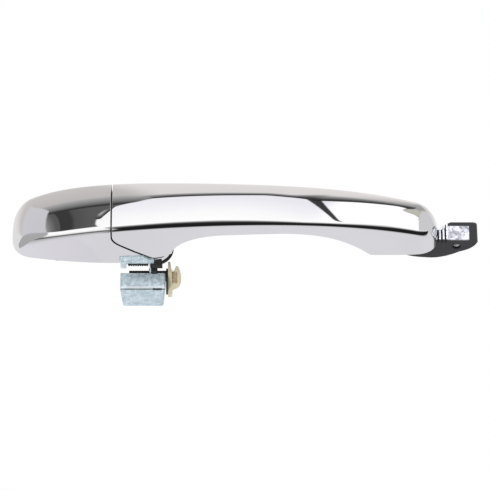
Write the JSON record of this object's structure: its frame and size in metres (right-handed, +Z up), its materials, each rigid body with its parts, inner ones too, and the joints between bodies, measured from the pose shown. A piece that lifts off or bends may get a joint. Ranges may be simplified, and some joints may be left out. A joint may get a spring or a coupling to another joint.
{
  "type": "car door handle",
  "caption": "Chrome strap door handle: fixed cap, swinging strap on a front pivot foot, and a sprung counterweighted crank with a rod clip.",
  "frame": {"origin": "middle of the cap's seat on the door skin", "axes": "+Z up, +Y into the door, +X along the handle towards the pivot foot"},
  "size_m": [0.2565, 0.0623, 0.0449],
  "materials": {
    "chrome": "polished",
    "black_nylon": "satin",
    "rubber": "matte",
    "brass": "satin",
    "steel": "satin",
    "zinc_plate": "satin",
    "acetal": "satin",
    "spring_steel": "satin",
    "bright_steel": "polished",
    "black_steel": "satin",
    "cream_acetal": "satin"
  },
  "bodies": {
    "base": {"cap_shell": "chrome", "base_frame": "black_nylon", "base_gasket": "rubber", "fixing_insert": "brass", "cap_screws": "steel", "strap_buffers": "rubber", "spring_bracket": "zinc_plate", "bracket_rivets": "zinc_plate", "rest_bumper": "rubber", "pivot_pin": "steel", "pin_clip": "steel", "spring_sleeve": "acetal", "torsion_spring": "spring_steel"},
    "strap": {"grip_shell": "chrome", "grip_liner": "black_nylon", "grip_core": "black_nylon", "liner_screws": "steel", "pivot_bush": "bright_steel", "foot_wear_plate": "bright_steel", "hook_pin": "steel"},
    "roller": {"hook_roller": "acetal"},
    "crank": {"crank_lever": "black_steel", "crank_bush": "acetal", "weight_block": "zinc_plate", "weight_rivets": "steel"},
    "clip": {"rod_clip": "cream_acetal"}
  },
  "joints": [
    {"name": "strap_swing", "type": "hinge", "parent": "base", "child": "strap", "pos_m": [0.2001, -0.0006, 0], "axis": [0, 0, 1], "range_deg": [0, 5.5]},
    {"name": "crank_turn", "type": "hinge", "parent": "base", "child": "crank", "pos_m": [0.0333, 0.0041, -0.012], "axis": [1, 0, 0], "range_deg": [0, 45], "stiffness_Nm_per_rad": 0.095, "springref_deg": -68.75, "deforming": ["torsion_spring"]},
    {"name": "clip_swivel", "type": "hinge", "parent": "crank", "child": "clip", "pos_m": [0.0403, 0.015, -0.017], "axis": [1, 0, 0], "range_deg": [-25, 25]},
    {"name": "roller_spin", "type": "hinge", "parent": "strap", "child": "roller", "pos_m": [0.0333, 0.0163, 0.0075], "axis": [1, 0, 0], "continuous": true}
  ],
  "couplings": [
    {"joint": "crank_turn", "follows": "strap_swing", "ratio": 8.1}
  ]
}
